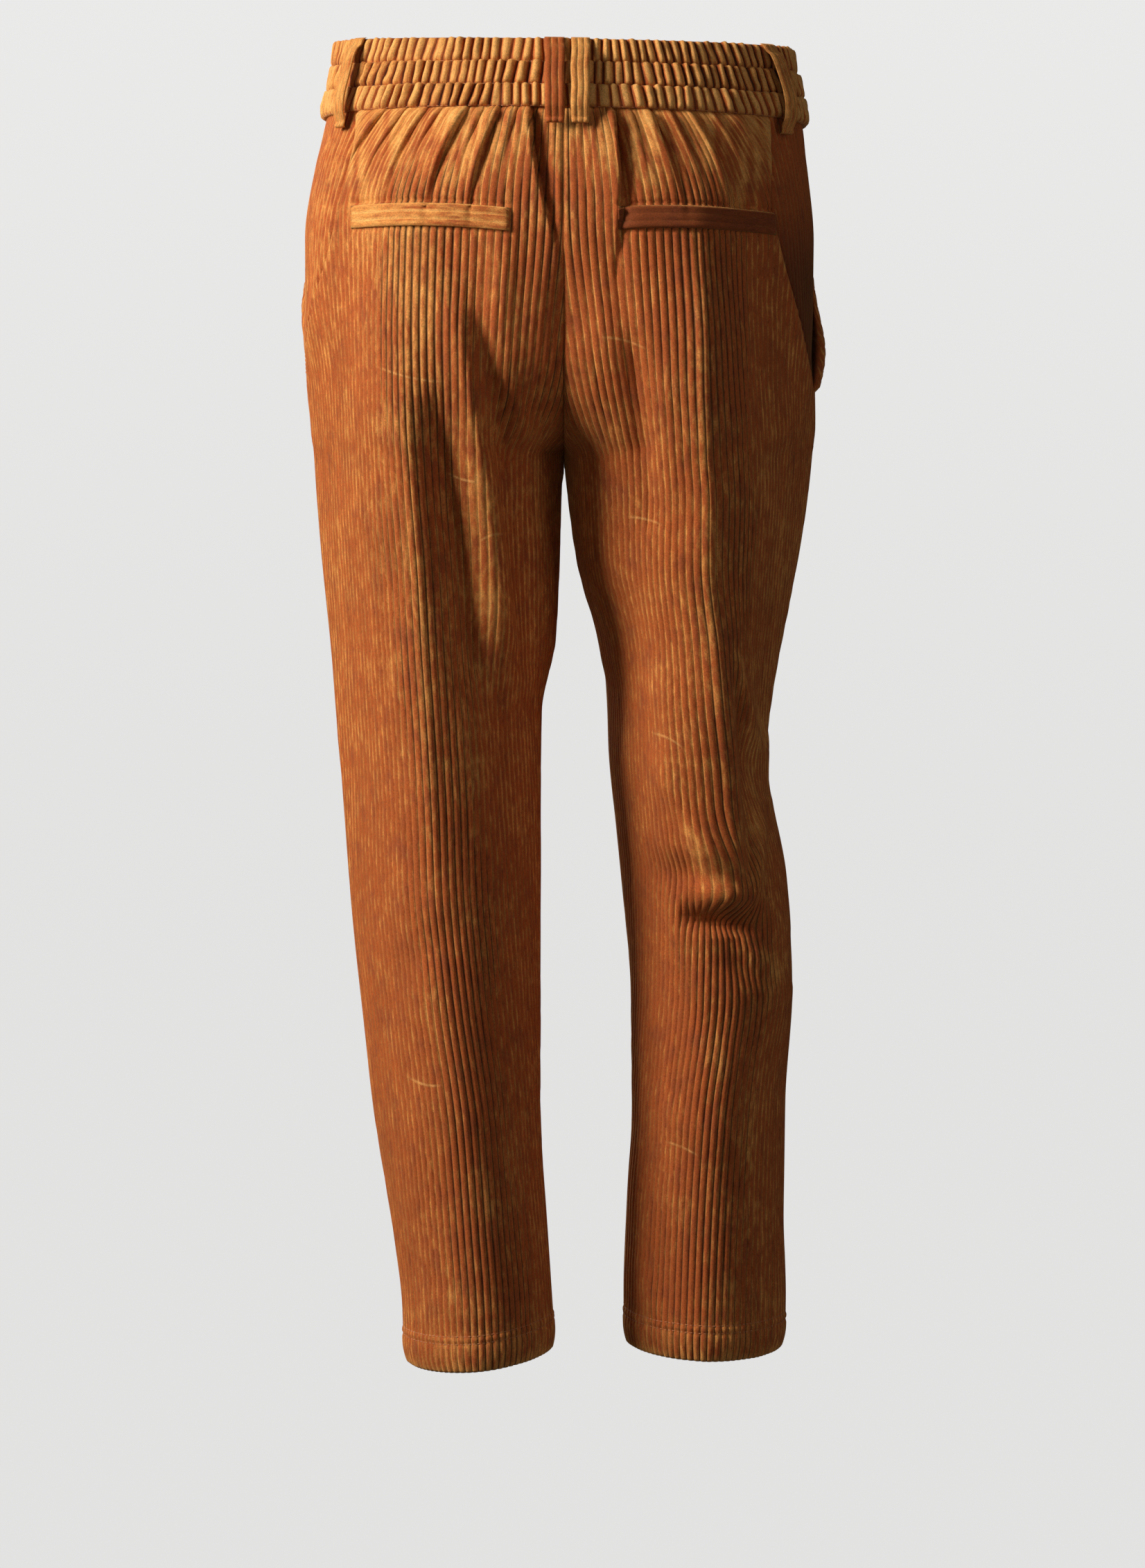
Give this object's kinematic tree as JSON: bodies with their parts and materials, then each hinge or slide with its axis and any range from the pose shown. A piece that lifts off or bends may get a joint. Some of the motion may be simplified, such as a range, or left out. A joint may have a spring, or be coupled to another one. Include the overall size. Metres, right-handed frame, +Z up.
{
  "type": "chinos",
  "caption": "Cropped wide-wale corduroy chinos with an elastic waistband, slant side pockets and welted back pockets, hollow as worn",
  "frame": {"origin": "centre of the waist, halfway up the waistband, where the wearer holds the garment up", "axes": "+Z up, -Y the garment's front, +X the wearer's left"},
  "size_m": [0.3703, 0.2655, 0.9362],
  "materials": {
    "corduroy": "wide-wale cotton corduroy, velvety ribs, tan brown"
  },
  "bodies": {
    "root": {"back_left": "corduroy", "back_right": "corduroy", "front_left": "corduroy", "front_right": "corduroy", "pocket_facing_left": "corduroy", "pocket_facing_right": "corduroy", "waistband": "corduroy", "back_welt_left": "corduroy", "back_welt_right": "corduroy", "belt_loop_back_left": "corduroy", "belt_loop_back_right": "corduroy", "belt_loop_side_left": "corduroy", "belt_loop_side_right": "corduroy", "belt_loop_front_left": "corduroy", "belt_loop_front_right": "corduroy"}
  },
  "joints": []
}
